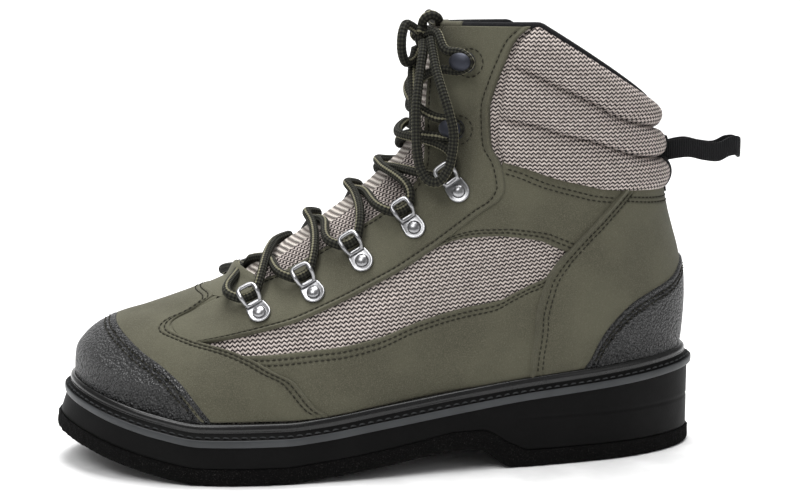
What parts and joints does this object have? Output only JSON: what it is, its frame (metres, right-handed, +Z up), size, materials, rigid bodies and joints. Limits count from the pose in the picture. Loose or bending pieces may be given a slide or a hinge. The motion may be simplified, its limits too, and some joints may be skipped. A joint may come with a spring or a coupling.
{
  "type": "wading boot",
  "caption": "Left wading boot with felt outsole, welted midsole, padded collar, ring eyelets, speed hooks, a tied round lace and a rear pull loop.",
  "frame": {"origin": "on the ground under the middle of the heel, on the felt's flat heel face", "axes": "+Z up from the ground, -X towards the toe, -Y towards the outer (little toe) side"},
  "size_m": [0.3388, 0.1163, 0.2168],
  "materials": {
    "nubuck_panels": "matt nubuck",
    "knit_mesh": "zigzag knitted mesh",
    "pebbled_caps": "pebbled, slight sheen",
    "bright_rings": "bright plated",
    "dark_hooks": "satin",
    "braided_lace": "round braid",
    "midsole_rubber": "smooth",
    "welt_rubber": "smooth, dark grey",
    "felt": "dense felt",
    "lining": "brushed lining",
    "webbing": "ribbed webbing"
  },
  "bodies": {
    "root": {"ankle_panel_inner": "nubuck_panels", "ankle_panel_outer": "nubuck_panels", "collar_pad": "knit_mesh", "d_ring_inner_1": "bright_rings", "d_ring_inner_2": "bright_rings", "d_ring_inner_3": "bright_rings", "d_ring_inner_4": "bright_rings", "d_ring_inner_5": "bright_rings", "d_ring_outer_1": "bright_rings", "d_ring_outer_2": "bright_rings", "d_ring_outer_3": "bright_rings", "d_ring_outer_4": "bright_rings", "d_ring_outer_5": "bright_rings", "eyestay_inner": "nubuck_panels", "eyestay_outer": "nubuck_panels", "heel_counter": "pebbled_caps", "heel_quarter": "nubuck_panels", "hook_inner_1": "dark_hooks", "hook_inner_2": "dark_hooks", "hook_outer_1": "dark_hooks", "hook_outer_2": "dark_hooks", "insole": "lining", "lace_cross_1": "braided_lace", "lace_cross_2": "braided_lace", "lace_cross_3": "braided_lace", "lace_cross_4": "braided_lace", "lace_cross_5": "braided_lace", "lace_cross_6": "braided_lace", "lace_end_inner": "braided_lace", "lace_end_outer": "braided_lace", "lace_knot": "braided_lace", "lace_loop_hanging": "braided_lace", "lace_loop_short": "braided_lace", "midsole": "midsole_rubber", "outsole_felt": "felt", "pull_loop": "webbing", "side_band_inner": "nubuck_panels", "side_band_outer": "nubuck_panels", "throat_tab": "nubuck_panels", "toe_cap": "pebbled_caps", "tongue": "knit_mesh", "upper": "knit_mesh", "vamp": "nubuck_panels", "welt": "welt_rubber"}
  },
  "joints": []
}
